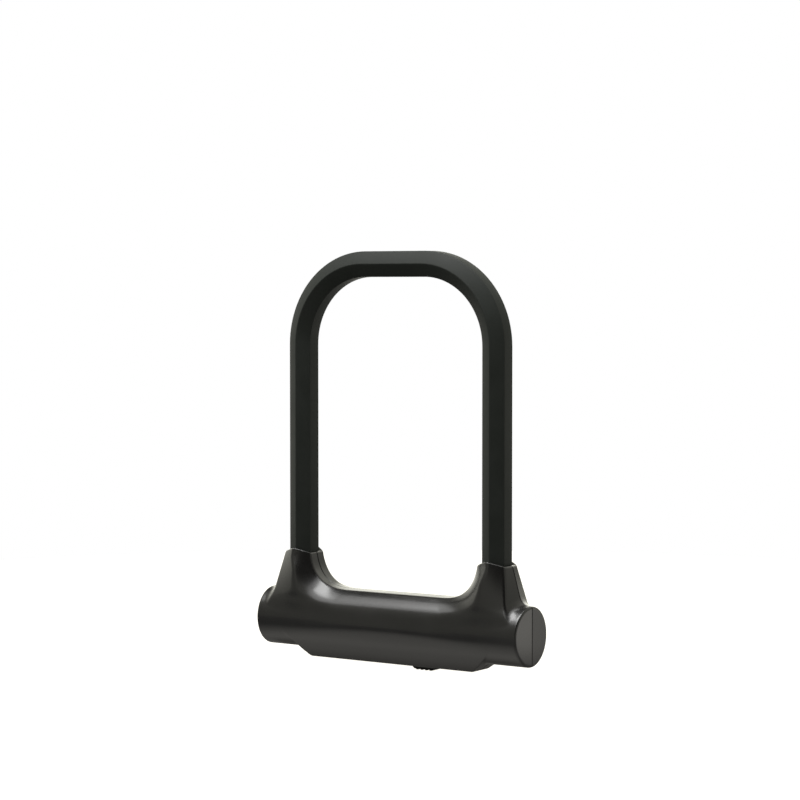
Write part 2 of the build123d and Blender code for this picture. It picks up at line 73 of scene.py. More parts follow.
AXIS_Z = (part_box("crossbar_tube")[0].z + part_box("crossbar_tube")[1].z) / 2
TUBE_R = node_box("crossbar_tube")[1].z
END_X = node_box("front_shell")[1].x
KEEL_Z = node_box("front_shell")[0].z
COVER_LOW, COVER_HIGH = node_box("shackle_cover")
BAR_HIGH = node_box("shackle_bar")[1]
BAR_R = BAR_HIGH.y
LEG_X = BAR_HIGH.x - BAR_R
TOP_Z = BAR_HIGH.z - BAR_R
COVER_HALF = COVER_HIGH.x - LEG_X
BUSH_LOW, BUSH_HIGH = node_box("right_entry_bush")
TRACK_LOW, TRACK_HIGH = node_box("cover_track")
CYLINDER_R = node_box("cylinder_body")[1].y
SCREW_LOW, SCREW_HIGH = node_box("shell_screws")
INSERT_FRONT = node_box("shell_inserts")[0].y

# ---------------------------------------------------------------- mesh helpers


def make_mesh(name, points, faces):
    """A smooth-shaded object from points in millimetres about the crossbar's axis."""
    mesh = bpy.data.meshes.new(name)
    placed = np.asarray(points, float) * MM + (0, 0, AXIS_Z)
    faces = faces.tolist() if isinstance(faces, np.ndarray) else faces
    mesh.from_pydata(placed.tolist(), [], faces)
    mesh.validate()
    mesh.shade_smooth()
    piece = bpy.data.objects.new(name, mesh)
    bpy.context.scene.collection.objects.link(piece)
    return piece


def tidy_normals(piece):
    """Make every face point outward."""
    work = bmesh.new()
    work.from_mesh(piece.data)
    bmesh.ops.recalc_face_normals(work, faces=work.faces)
    work.to_mesh(piece.data)
    work.free()


def apply_modifiers(piece):
    """Make a piece's modifiers part of its mesh."""
    graph = bpy.context.evaluated_depsgraph_get()
    mesh = bpy.data.meshes.new_from_object(piece.evaluated_get(graph))
    piece.modifiers.clear()
    piece.data = mesh


def circle_points(radius, centre=(0, 0), count=96, start=0.0):
    """Points evenly round a circle, the first at the angle start."""
    turns = (start + 2 * math.pi * i / count for i in range(count))
    return [(centre[0] + radius * math.cos(a), centre[1] + radius * math.sin(a)) for a in turns]


def hexagon_points(half_flats, centre):
    """A hexagon whose flats face along the first direction."""
    return circle_points(half_flats / math.cos(math.pi / 6), centre, 6, math.pi / 6)


def rectangle_points(low, high):
    """A rectangle's corners, from its lowest and highest ones."""
    return [(low[0], low[1]), (high[0], low[1]), (high[0], high[1]), (low[0], high[1])]


ALONG_X, ALONG_Y, ALONG_Z = range(3)


def prism(name, outline, axis, low, high):
    """A straight solid: an outline in the two other directions, from low to high along axis."""
    others = [a for a in range(3) if a != axis]
    points = []
    for level in (low, high):
        for p in outline:
            point = [0.0, 0.0, 0.0]
            point[others[0]], point[others[1]], point[axis] = p[0], p[1], level
            points.append(point)
    count = len(outline)
    faces = [list(range(count)), list(range(count, 2 * count))]
    faces += [[i, (i + 1) % count, count + (i + 1) % count, count + i] for i in range(count)]
    piece = make_mesh(name, points, faces)
    tidy_normals(piece)
    return piece


# ---------------------------------------------------------------- the housing as one implicit surface


def smooth_max(a, b, reach):
    """The larger of a and b, with their crossing rounded over reach."""
    reach = np.maximum(reach, 1e-6)
    share = np.maximum(reach - np.abs(a - b), 0) / reach
    return np.maximum(a, b) + share * share * reach / 4


def smooth_min(a, b, reach):
    """The smaller of a and b, with their crossing rounded over reach."""
    return -smooth_max(-a, -b, reach)


def smooth_step(low, high, value):
    """0 at low, 1 at high, with an easy start and end."""
    share = np.clip((value - low) / (high - low), 0, 1)
    return share * share * (3 - 2 * share)


# The end drums, and the body between the towers.
DRUM_R = 16.5
END_DRAFT = 0.04  # slope of each shell's end face
RIBBON_Z = 17.6
INNER_FACE_X = 56.1
INNER_SWEEP = 25.6  # reach of the sweep from the flat top into a tower's inner face
BODY_ARC_R = 26.45
BODY_ARC_DEPTH = 21.4  # the arc's centre, below the top edge
BODY_ARC_Y = 9.35  # and behind the front
BELOW_ARC_SLOPE = 0.05  # the front's slope under the crease
MIN_DEPTH = -2  # depths below the top edge where the front's shape holds
MAX_DEPTH = 40
SLOPE_WEIGHT = 0.8  # share of the front's slope that corrects its distance

# The crease along the front, and the keel below it.
CREASE_DEPTH = 19.1
CREASE_Z = -1.5
CREASE_Y = 17.0
KEEL_SLOPE = 0.466
KEEL_END_X = 54.0
KEEL_END_GROWTH = 15.8
KEEL_END_POWER = 1.7
KEEL_END_RISE = 1.1  # how fast the end runs outward above the crease
KEEL_END_FACTOR = 0.74  # turns a distance along X into one across the slanting end

# A tower's inner facet, which turns into the body's arc lower down.
FACET_START_Y = 6.0
FACET_SLOPE = 0.82
FACET_BULGE = 0.0275
FACET_MAX_DEPTH = 12
FACET_TOP_Z = 39
FACET_BOTTOM_Z = 27

# A tower's outer faces: each place at the top, and how much further out it is one drop lower.
TOWER_TOP = 40.0
TOWER_DROP = 21.0
MAX_DROP = 2
RIDGE_IN = 5.8
RIDGE_POWER = 1.7
RIDGE_MAX_DROP = 1.3
RIDGE_Y = (11.0, 4.6)
EDGE_X = (73.1, 3.7)
EDGE_Y = (5.7, 5.5)
CROWN_X = (73.9, 6.1)
OUTER_SWELL = 1.2
PAST_FACET = 0.2  # share of the facet's width that its swell goes on for, each side of it
RIM_Z = 37.6
RIM_FLAT = 5.6
RIM_SLOPE = 0.55
RIM_FACTOR = 1.1

# Where surfaces meet: the reach of their rounding, and how it grows where they run into each other.
RIDGE_ROUND = (0.7, 0.4)
RIDGE_MELT = (9, 1.0, 1.7)  # growth, between two drops
KEEL_ROUND = 1.2
RIBBON_ROUND = 0.6
CROWN_ROUND = 1.1
RIM_ROUND = 1.3
KEEL_EDGE_ROUND = 0.8
KEEL_END_ROUND = 0.5
KEEL_END_MELT = (3, -2, 3)  # growth, between two heights
DRUM_ROUND = 1
DRUM_MELT = (4, 2, 12)
END_ROUND = 1.4


def front_profile(depth, z):
    """How far the front stands out at a depth below the opening's edge, and its slope there."""
    depth = np.clip(depth, MIN_DEPTH, MAX_DEPTH)
    arc_depth = BODY_ARC_DEPTH - np.minimum(depth, CREASE_DEPTH)
    arc_rise = np.sqrt(np.maximum(BODY_ARC_R**2 - arc_depth**2, 1.0))
    arc = arc_rise - BODY_ARC_Y
    arc_slope = np.where(depth < CREASE_DEPTH, arc_depth / arc_rise, BELOW_ARC_SLOPE)
    near = np.clip(depth, MIN_DEPTH, FACET_MAX_DEPTH)
    facet_slope = FACET_SLOPE - 2 * FACET_BULGE * near
    facet = FACET_START_Y + (FACET_SLOPE - FACET_BULGE * near) * near
    share = smooth_step(FACET_TOP_Z, FACET_BOTTOM_Z, z)
    return facet * (1 - share) + arc * share, facet_slope * (1 - share) + arc_slope * share


def lower(place, drop):
    """A place at the top of a tower, moved out as the tower drops."""
    start, growth = place
    return start + growth * drop


def melt(growth_range, value):
    """The extra reach of a rounding where value lies in a range."""
    growth, low, high = growth_range
    return growth * smooth_step(low, high, value)


def opening_edge(x, z):
    """Distance into the opening, whose flat bottom sweeps up into the towers' inner faces."""
    top = RIBBON_Z - z
    face = x - INNER_FACE_X
    share = np.maximum(INNER_SWEEP - np.abs(top - face), 0) / INNER_SWEEP
    weight = np.where(top > face, 1 - share / 2, share / 2)
    return smooth_max(top, face, INNER_SWEEP) / np.sqrt(weight**2 + (1 - weight) ** 2)


def tower_faces(x, y, drop):
    """Distances from a tower's outer facet and from its outer face, which rises to the seam."""
    ridge_x = LEG_X - RIDGE_IN * np.minimum(drop, RIDGE_MAX_DROP) ** RIDGE_POWER
    ridge_y = lower(RIDGE_Y, drop)
    edge_x = lower(EDGE_X, drop)
    edge_y = lower(EDGE_Y, drop)
    crown_x = lower(CROWN_X, drop)
    width = edge_x - ridge_x
    lean = (ridge_y - edge_y) / width
    along = np.clip((x - ridge_x) / width, -PAST_FACET, 1 + PAST_FACET)
    swell = OUTER_SWELL * along * (1 - along)
    outer = (y - ridge_y + (x - ridge_x) * lean - swell) / np.sqrt(1 + lean**2)
    draft = (crown_x - edge_x) / edge_y
    return outer, (x - crown_x + draft * y) / np.sqrt(1 + draft**2)


def keel_end(x, z):
    """Distance from the keel's end, which curves in towards its bottom."""
    low = np.clip((CREASE_Z - z) / (CREASE_Z - KEEL_Z), 0, 1)
    below = KEEL_END_X + KEEL_END_GROWTH * (1 - low**KEEL_END_POWER)
    above = KEEL_END_X + KEEL_END_GROWTH + KEEL_END_RISE * (z - CREASE_Z)
    return KEEL_END_FACTOR * (x - np.where(z < CREASE_Z, below, above))


def housing(x, y, z):
    """Negative inside the crossbar's two shells, taken together."""
    x = np.abs(x)
    y = np.abs(y)
    edge = opening_edge(x, z)
    reach, slope = front_profile(edge, z)
    front = (y - reach) / np.sqrt(1 + SLOPE_WEIGHT * slope**2)
    drop = np.clip((TOWER_TOP - z) / TOWER_DROP, 0, MAX_DROP)
    outer, crown = tower_faces(x, y, drop)
    front = smooth_max(front, outer, lower(RIDGE_ROUND, drop) + melt(RIDGE_MELT, drop))
    # Below the crease the front slants back to the keel.
    keel = (y - CREASE_Y - (z - CREASE_Z) * KEEL_SLOPE) / math.hypot(1, KEEL_SLOPE)
    front = smooth_max(front, keel, KEEL_ROUND)
    body = smooth_max(-edge, front, RIBBON_ROUND)
    body = smooth_max(body, crown, CROWN_ROUND)
    rim = (z - RIM_Z - np.maximum(y - RIM_FLAT, 0) * RIM_SLOPE) / RIM_FACTOR
    body = smooth_max(body, rim, RIM_ROUND)
    body = smooth_max(body, KEEL_Z - z, KEEL_EDGE_ROUND)
    body = smooth_max(body, keel_end(x, z), KEEL_END_ROUND + melt(KEEL_END_MELT, z))
    drum = np.sqrt(y**2 + z**2) - DRUM_R
    whole = smooth_min(body, drum, DRUM_ROUND + melt(DRUM_MELT, z))
    return smooth_max(whole, x - END_X + END_DRAFT * y, END_ROUND)


SEAM_DEPTH = 0.6
SEAM_HALF = 0.42
SEAM_GAP = 0.1  # from the parting plane to each shell


def housing_with_seam(x, y, z):
    """The housing with a fine V groove round the plane where the shells part."""
    groove = np.clip(1 - np.abs(y) / SEAM_HALF, 0, 1) * SEAM_DEPTH
    return housing(x, y, z) + groove


# ---------------------------------------------------------------- dual contouring


def grid_line(low, high, step, *fine):
    """Grid positions from low to high, with a finer step in each (low, high, step) range."""
    marks = list(np.arange(low, high + step / 2, step))
    for start, stop, small in fine:
        marks = [m for m in marks if m < start - small / 2 or m > stop + small / 2]
        marks += list(np.arange(start, stop + small / 2, small))
    return np.unique(np.round(marks, 4))


HALVINGS = 12  # steps that close in on a crossing
SLOPE_STEP = 0.02  # half the distance over which the field's slope is measured
CENTRE_PULL = 0.05  # keeps a cell's point near the middle of its crossings


def crossings(field, corners, inside):
    """Points and outward directions where grid edges, between two corners each, meet the surface."""
    low, high = corners
    for _ in range(HALVINGS):
        middle = (low + high) / 2
        same = (field(*middle.T) < 0) == inside
        low = np.where(same[:, None], middle, low)
        high = np.where(same[:, None], high, middle)
    point = (low + high) / 2
    steps = SLOPE_STEP * np.eye(3)
    slope = np.stack([field(*(point + s).T) - field(*(point - s).T) for s in steps], 1)
    return point, slope / (np.linalg.norm(slope, axis=1, keepdims=True) + 1e-12)


def contour(field, lines):
    """Points and quads of the surface where field is zero, with its sharp edges kept."""
    values = field(lines[0][:, None, None], lines[1][None, :, None], lines[2][None, None, :])
    solid = values < 0
    cells = [len(line) - 1 for line in lines]
    total = cells[0] * cells[1] * cells[2]
    matrix = np.zeros((total, 3, 3))
    target = np.zeros((total, 3))
    middle = np.zeros((total, 3))
    count = np.zeros(total)
    quads = []
    for axis in range(3):
        others = [a for a in range(3) if a != axis]
        start = [slice(None)] * 3
        stop = [slice(None)] * 3
        start[axis] = slice(0, -1)
        stop[axis] = slice(1, None)
        index = np.argwhere(solid[tuple(start)] != solid[tuple(stop)])
        for a in others:
            index = index[(index[:, a] > 0) & (index[:, a] < cells[a])]
        low = np.stack([lines[a][index[:, a]] for a in range(3)], 1)
        high = low.copy()
        high[:, axis] = lines[axis][index[:, axis] + 1]
        inside = solid[tuple(index.T)]
        point, normal = crossings(field, (low, high), inside)
        distance = (normal * point).sum(1)
        around = []
        for da, db in ((0, 0), (-1, 0), (-1, -1), (0, -1)):
            corner = index.copy()
            corner[:, others[0]] += da
            corner[:, others[1]] += db
            cell = (corner[:, 0] * cells[1] + corner[:, 1]) * cells[2] + corner[:, 2]
            around.append(cell)
            np.add.at(matrix, cell, normal[:, :, None] * normal[:, None, :])
            np.add.at(target, cell, normal * distance[:, None])
            np.add.at(middle, cell, point)
            np.add.at(count, cell, 1)
        quad = np.stack(around, 1)
        turned = inside if axis == 1 else ~inside
        quad[turned] = quad[turned][:, ::-1]
        quads.append(quad)
    quads = np.concatenate(quads)
    used = np.unique(quads)
    centre = middle[used] / count[used][:, None]
    system = matrix[used] + CENTRE_PULL * np.eye(3)
    offset = target[used] - np.einsum("nij,nj->ni", matrix[used], centre)
    points = np.linalg.solve(system, offset[..., None])[..., 0] + centre
    cell_x, rest = np.divmod(used, cells[1] * cells[2])
    cell_y, cell_z = np.divmod(rest, cells[2])
    for a, place in enumerate((cell_x, cell_y, cell_z)):
        points[:, a] = np.clip(points[:, a], lines[a][place], lines[a][place + 1])
    renumber = np.zeros(total, int)
    renumber[used] = np.arange(len(used))
    return points, renumber[quads]


# ---------------------------------------------------------------- shells


GRID_STEP = (0.75, 0.7, 0.75)
GRID_Y = (-18.0, 0.6)
GRID_Z = (-22.0, 42.0)
END_FINE = (-0.3, 2.4, 0.3)  # a finer grid from outside an end to inside it, and its step
SEAM_FINE = (-0.8, 0.4, 0.1)
RIBBON_EDGE_FINE = (-7.0, -5.25, 0.35)
RIBBON_TOP_FINE = (16.5, 18.5, 0.35)
TOWER_RIM_FINE = (36.0, 41.4, 0.3)
SHARP_ANGLE = 40  # degrees

CUT_GAP = 0.1
LEG_POCKET_GAP = 0.45
TUBE_END = 2  # shell left past the tube's bore
SCREW_X_TOP = 50.0
SCREW_X_BOTTOM = 48.6
SCREW_HEAD_R = 2.4
SCREW_SEAT_DEPTH = 2.2
INSERT_HOLE_R = 2.0
HEAD_HOLE_R = 2.7
SHANK_HOLE_R = 1.4
HOLE_POINTS = 32
HEAD_HOLE_POINTS = 48
CUT_PAST = 1  # how far a cutter runs on past what it opens
LEG_CUT_PAST = 5
OUTSIDE = 20  # past any surface


def housing_grid():
    """Grid lines along each axis, over the housing's front half."""
    outside, inside, small = END_FINE
    end = END_X + GRID_STEP[0]
    ends = (-END_X + outside, -END_X + inside, small), (END_X - inside, END_X - outside, small)
    return [
        grid_line(-end, end, GRID_STEP[0], *ends),
        grid_line(*GRID_Y, GRID_STEP[1], RIBBON_EDGE_FINE, SEAM_FINE),
        grid_line(*GRID_Z, GRID_STEP[2], RIBBON_TOP_FINE, TOWER_RIM_FINE),
    ]


def half_mesh(name, side):
    """The front (-1) or rear (1) half of the housing's skin, closed at the parting plane."""
    points, quads = contour(housing_with_seam, housing_grid())
    if side > 0:
        points = points * (1, -1, 1)
        quads = quads[:, ::-1]
    piece = make_mesh(name, points, quads)
    work = bmesh.new()
    work.from_mesh(piece.data)
    geometry = work.verts[:] + work.edges[:] + work.faces[:]
    bmesh.ops.bisect_plane(
        work, geom=geometry, plane_co=(0, side * SEAM_GAP * MM, 0), plane_no=(0, -side, 0),
        clear_outer=True,
    )
    rim = [e for e in work.edges if e.is_boundary]
    caps = bmesh.ops.contextual_create(work, geom=rim)["faces"]
    bmesh.ops.triangulate(work, faces=caps)
    bmesh.ops.recalc_face_normals(work, faces=work.faces)
    work.to_mesh(piece.data)
    work.free()
    return piece


def screw_places():
    """X and Z of the four screws. Z comes from the corners of their CAD node."""
    rows = (SCREW_X_TOP, SCREW_HIGH.z - SCREW_HEAD_R), (SCREW_X_BOTTOM, SCREW_LOW.z + SCREW_HEAD_R)
    return [(side * x, z) for x, z in rows for side in (-1, 1)]


def shell_cutters(side):
    """Everything that is hollow inside the shells."""
    track = rectangle_points(
        (TRACK_LOW.x - CUT_GAP, TRACK_LOW.y - CUT_GAP), (TRACK_HIGH.x + CUT_GAP, TRACK_HIGH.y + CUT_GAP)
    )
    bore = circle_points(TUBE_R + CUT_GAP)
    cutters = [
        prism("cut_tube", bore, ALONG_X, -END_X + TUBE_END, END_X - TUBE_END),
        prism("cut_well", circle_points(CYLINDER_R + CUT_GAP), ALONG_Z, KEEL_Z - CUT_PAST, 0),
        prism("cut_slot", track, ALONG_Z, KEEL_Z - CUT_PAST, TRACK_HIGH.z + CUT_GAP),
    ]
    for leg in (-1, 1):
        centre = (leg * LEG_X, 0)
        hexagon = hexagon_points(COVER_HALF + LEG_POCKET_GAP, centre)
        cutters.append(prism("cut_leg", hexagon, ALONG_Z, 0, TOWER_TOP + LEG_CUT_PAST))
        bush = circle_points((BUSH_HIGH.y - BUSH_LOW.y) / 2 + CUT_GAP, centre)
        cutters.append(prism("cut_bush", bush, ALONG_Z, BUSH_LOW.z, BUSH_HIGH.z))
    seat = SCREW_HIGH.y - SCREW_SEAT_DEPTH
    for place in screw_places():
        if side < 0:
            hole = circle_points(INSERT_HOLE_R, place, HOLE_POINTS)
            cutters.append(prism("cut_insert", hole, ALONG_Y, INSERT_FRONT, CUT_PAST))
        else:
            hole = circle_points(HEAD_HOLE_R, place, HEAD_HOLE_POINTS)
            cutters.append(prism("cut_head", hole, ALONG_Y, seat, OUTSIDE))
            hole = circle_points(SHANK_HOLE_R, place, HOLE_POINTS)
            cutters.append(prism("cut_shank", hole, ALONG_Y, -CUT_PAST, seat + CUT_PAST))
    return cutters


def make_shell(name, node, side):
    """One of the crossbar's two shells, in place of its CAD node."""
    shell = half_mesh(name, side)
    for cutter in shell_cutters(side):
        cut = shell.modifiers.new("cut", "BOOLEAN")
        cut.operation = "DIFFERENCE"
        cut.solver = "EXACT"
        cut.object = cutter
        apply_modifiers(shell)
        bpy.data.objects.remove(cutter)
    shell.data.shade_smooth()
    shell.data.set_sharp_from_angle(angle=math.radians(SHARP_ANGLE))
    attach(shell, "crossbar")
    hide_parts(node)
    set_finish(shell, "shell_plastic")
    return shell


# ---------------------------------------------------------------- shackle cover


SLEEVE_CORNER_R = 0.75
SLEEVE_CORNER_POINTS = 5
SLEEVE_GAP = 0.05  # from the bar
SLEEVE_SHARP_ANGLE = 50
BEND_POINTS = 28
BEND_SLACK = 0.02  # how far inside the bar's outermost reach a point still counts as there
TOP_POINTS = 4
LEG_STEP = 8.0


def rounded_hexagon(half_flats, radius, per_corner):
    """Outline of a hexagon with round corners, flats facing along the first direction."""
    corner = half_flats / math.cos(math.pi / 6)
    inset = radius / math.cos(math.pi / 6)
    points = []
    for i in range(6):
        middle = math.pi / 6 + i * math.pi / 3
        centre = ((corner - inset) * math.cos(middle), (corner - inset) * math.sin(middle))
        for j in range(per_corner):
            turn = middle + (j / (per_corner - 1) - 0.5) * math.pi / 3
            points.append((centre[0] + radius * math.cos(turn), centre[1] + radius * math.sin(turn)))
    return points


def shackle_stations(low_z, bend_r, per_bend, step):
    """Points along the shackle's axis with the outward direction at each: (x, z, out_x, out_z)."""
    straight = TOP_Z - bend_r
    count = max(2, round((straight - low_z) / step))
    leg = [(LEG_X, low_z + (straight - low_z) * i / count, 1.0, 0.0) for i in range(count)]
    bend = []
    for i in range(per_bend + 1):
        turn = math.pi / 2 * i / per_bend
        out = (math.cos(turn), math.sin(turn))
        bend.append((LEG_X - bend_r + bend_r * out[0], straight + bend_r * out[1], *out))
    half = leg + bend
    shares = [1 - i / TOP_POINTS for i in range(1, TOP_POINTS + 1)]
    top = [((LEG_X - bend_r) * share, TOP_Z, 0.0, 1.0) for share in shares]
    right = half + top
    left = [(-x, z, -out_x, out_z) for x, z, out_x, out_z in reversed(right[:-1])]
    return right + left


def make_cover():
    """The hexagonal rubber sleeve round the shackle bar."""
    outer = rounded_hexagon(COVER_HALF, SLEEVE_CORNER_R, SLEEVE_CORNER_POINTS)
    bore_r = BAR_R + SLEEVE_GAP
    inner = [(bore_r * u / math.hypot(u, v), bore_r * v / math.hypot(u, v)) for u, v in outer]
    stations = shackle_stations(COVER_LOW.z, TOP_Z - bend_start(), BEND_POINTS, LEG_STEP)
    points = []
    for section in (outer, inner):
        for x, z, out_x, out_z in stations:
            points += [(x + out_x * u, v, z + out_z * u) for u, v in section]
    ring = len(outer)
    layer = ring * len(stations)
    faces = []
    for i in range(len(stations) - 1):
        for j in range(ring):
            a, b = i * ring + j, i * ring + (j + 1) % ring
            faces.append([a, b, b + ring, a + ring])
            faces.append([layer + a, layer + a + ring, layer + b + ring, layer + b])
    for first in (0, (len(stations) - 1) * ring):
        for j in range(ring):
            a, b = first + j, first + (j + 1) % ring
            faces.append([a, b, layer + b, layer + a])
    cover = make_mesh("shackle_sleeve", points, faces)
    tidy_normals(cover)
    cover.data.set_sharp_from_angle(angle=math.radians(SLEEVE_SHARP_ANGLE))
    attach(cover, "shackle")
    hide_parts("shackle_cover")
    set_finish(cover, "shackle_rubber")
    return cover


def bend_start():
    """Height where the legs start to bend: the CAD bar's outermost points end there."""
    bar = frame["nodes"]["shackle_bar"].data
    limit = (BAR_HIGH.x - BEND_SLACK) * MM
    return max((v.co.z - AXIS_Z) / MM for v in bar.vertices if v.co.x > limit)


# ---------------------------------------------------------------- materials


COARSE_SCALE = 60  # features per metre
COARSE_DETAIL = 4.0
FINE_DETAIL = 2.0
FINE_ROUGHNESS = 0.6
COLOUR_SPAN = (0.35, 0.65)  # noise values between which a colour changes
VALUE_SPAN = (0.3, 0.7)  # and those between which a value does


def new_material(name):
    """A node material and its main shader."""
    material = bpy.data.materials.new(name)
    material.use_nodes = True
    shader = material.node_tree.nodes["Principled BSDF"]
    return material, shader


def noise_field(tree, scale, detail, roughness=0.5, stretch=(1, 1, 1)):
    """A noise texture fixed to the piece, with its scale in features per metre."""
    place = tree.nodes.new("ShaderNodeTexCoord")
    mapping = tree.nodes.new("ShaderNodeMapping")
    mapping.inputs["Scale"].default_value = stretch
    noise = tree.nodes.new("ShaderNodeTexNoise")
    noise.inputs["Scale"].default_value = scale
    noise.inputs["Detail"].default_value = detail
    noise.inputs["Roughness"].default_value = roughness
    tree.links.new(place.outputs["Object"], mapping.inputs["Vector"])
    tree.links.new(mapping.outputs["Vector"], noise.inputs["Vector"])
    return noise.outputs["Fac"]


def colour_from(tree, field, dark, light):
    """A colour between dark and light, following a noise field."""
    ramp = tree.nodes.new("ShaderNodeValToRGB")
    ends = ramp.color_ramp.elements
    for end, position, colour in zip(ends, COLOUR_SPAN, (dark, light)):
        end.position = position
        end.color = (*colour, 1)
    tree.links.new(field, ramp.inputs["Fac"])
    return ramp.outputs["Color"]


def range_from(tree, field, low, high):
    """A value between low and high, following a noise field."""
    remap = tree.nodes.new("ShaderNodeMapRange")
    remap.inputs["From Min"].default_value = VALUE_SPAN[0]
    remap.inputs["From Max"].default_value = VALUE_SPAN[1]
    remap.inputs["To Min"].default_value = low
    remap.inputs["To Max"].default_value = high
    tree.links.new(field, remap.inputs["Value"])
    return remap.outputs["Result"]


def add_bump(tree, shader, field, depth):
    """Relief from a noise field, depth in metres."""
    bump = tree.nodes.new("ShaderNodeBump")
    bump.inputs["Strength"].default_value = 1.0
    bump.inputs["Distance"].default_value = depth
    tree.links.new(field, bump.inputs["Height"])
    tree.links.new(bump.outputs["Normal"], shader.inputs["Normal"])


def textured(
    name, dark, light, roughness, grain, depth, metallic=0.0, stretch=(1, 1, 1), gloss=0.5
):
    """A material whose colour, roughness and relief all vary."""
    material, shader = new_material(name)
    tree = material.node_tree
    coarse = noise_field(tree, COARSE_SCALE, COARSE_DETAIL)
    fine = noise_field(tree, grain, FINE_DETAIL, FINE_ROUGHNESS, stretch)
    tree.links.new(colour_from(tree, coarse, dark, light), shader.inputs["Base Color"])
    tree.links.new(range_from(tree, coarse, *roughness), shader.inputs["Roughness"])
    shader.inputs["Metallic"].default_value = metallic
    shader.inputs["Specular IOR Level"].default_value = gloss
    add_bump(tree, shader, fine, depth)
    return material


def grey(level, warm=0.0):
    """A grey, redder than it is blue by twice warm."""
    return (level * (1 + warm), level, level * (1 - warm))


FINISHES = {  # grain in features per metre, depth in metres
    "shell_plastic": dict(
        dark=grey(0.005, 0.04), light=grey(0.0065, 0.04), roughness=(0.2, 0.25),
        grain=5000, depth=1.2e-6,
    ),
    "shackle_rubber": dict(
        dark=(0.0122, 0.0143, 0.0125), light=(0.0152, 0.0175, 0.0155), roughness=(0.52, 0.62),
        grain=2500, depth=1e-5, gloss=0.135,
    ),
    "cover_plastic": dict(
        dark=grey(0.003), light=grey(0.005), roughness=(0.4, 0.5),
        grain=3000, depth=5e-6, gloss=0.14,
    ),
    "hardened_steel": dict(
        dark=grey(0.42), light=grey(0.5), roughness=(0.3, 0.45),
        grain=1800, depth=1e-5, metallic=1.0, stretch=(0.15, 1, 1),
    ),
    "keyway_steel": dict(
        dark=grey(0.36), light=grey(0.42), roughness=(0.28, 0.4),
        grain=2500, depth=8e-6, metallic=1.0, stretch=(1, 0.1, 1),
    ),
    "black_screw": dict(
        dark=grey(0.03), light=grey(0.05), roughness=(0.35, 0.5),
        grain=2500, depth=1e-5, metallic=0.8,
    ),
    "brass": dict(
        dark=(0.55, 0.38, 0.14), light=(0.65, 0.46, 0.18), roughness=(0.25, 0.4),
        grain=2000, depth=1e-5, metallic=1.0, stretch=(1, 1, 0.1),
    ),
    "nylon": dict(
        dark=(0.5, 0.49, 0.45), light=(0.58, 0.57, 0.53), roughness=(0.4, 0.5),
        grain=2200, depth=1e-5,
    ),
    "pad_rubber": dict(
        dark=grey(0.018), light=grey(0.024), roughness=(0.6, 0.75),
        grain=1600, depth=4e-5,
    ),
}


def make_materials():
    """The material of each slot in the record."""
    return {slot: textured(slot, **finish) for slot, finish in FINISHES.items()}


def dress(pieces, materials):
    """Give every CAD node and every new piece the material of its slot."""
    slots = {s["node"]: s["material_slot"] for s in frame["record"]["subparts"]}
    for node, piece in frame["nodes"].items():
        piece.data.materials.clear()
        piece.data.materials.append(materials[slots[node]])
    for piece in pieces:
        piece.data.materials.clear()
        piece.data.materials.append(materials[piece["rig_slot"]])


# ---------------------------------------------------------------- studio

CAMERA_PLACE = (0.7852, -1.1489, 0.1878)  # metres, from the middle of the crossbar's axis
CAMERA_PITCH = -2.578  # degrees
CAMERA_TURN = 34.309
CAMERA_LENS = 113.26  # millimetres, as is the sensor's width
CAMERA_SENSOR = 36

SKY_LEVEL = 0.65
SKY_COLOUR = (1.0, 0.99, 0.88, 1)
SKY_PATCHES = [  # azimuth, elevation, core and reach in degrees, and the level inside
    (35, 18, 10, 32, 0.1),
    (50, 42, 16, 34, 0.03),
    (-140, 48, 12, 30, 0.2),
    (-155, 5, 12, 32, 1.8),
    (-35, -5, 15, 45, 0.7),
    (-100, -6, 22, 50, 2.1),
    (180, 0, 30, 75, 1.9),
    (125, 12, 8, 25, 0.8),
    (150, 6, 10, 26, 0.6),
    (150, -16, 12, 24, 1.9),
    (176, 3, 10, 24, 0.4),
]

SOFTBOX_AZIMUTH = -32
SOFTBOX_ELEVATION = 74
SOFTBOXES = {  # distance and size in metres, and radiance
    "softbox": (1.2, 0.75, 9.0),
    "softbox_edge": (1.3, 1.5, 2.5),
}

FLOOR_RADIUS = 620
FLOOR_POINTS = 128
FLOOR_GREY = (0.06, 0.06, 0.06, 1)
FLOOR_ROUGHNESS = 0.9
FLOOR_GLOW = (1, 0.97, 0.9, 1)
FLOOR_WHITE = 1.15  # its own light as the camera sees it
FLOOR_LEVEL = 0.12  # and as the object sees it, to which the rest is added
FLOOR_SQUEEZE = (0.4, 1, 1)  # makes the pool of light round the object long
# Where that light changes: from and to in metres, and the levels there.
FLOOR_POOL = (0.03, 0.065, 0.7, 0.0)  # out from the object's middle
# painted shadow: the floor's glow fades out under the object's front
FLOOR_UNDER_SHADOW = (-0.018, -0.002, 1.0, 0.1)  # along Y: the pool ends under the object's front
FLOOR_BACK = (0.0, 0.13, FLOOR_LEVEL, 0.95)  # along Y: the floor is brighter behind the object
FLOOR_SIDE_ACROSS = (0.855, -0.519, 0)
FLOOR_SIDE = (0.062, 0.087, 0.5, 1.5)  # and brighter past a line behind the right end


def make_camera():
    """The camera, at the object's front right, level with the shackle's bend."""
    data = bpy.data.cameras.new("camera")
    data.lens = CAMERA_LENS
    data.sensor_width = CAMERA_SENSOR
    camera = bpy.data.objects.new("camera", data)
    camera.location = Vector(CAMERA_PLACE) + Vector((0, 0, AXIS_Z))
    camera.rotation_euler = (math.radians(90 + CAMERA_PITCH), 0, math.radians(CAMERA_TURN))
    bpy.context.scene.collection.objects.link(camera)
    bpy.context.scene.camera = camera


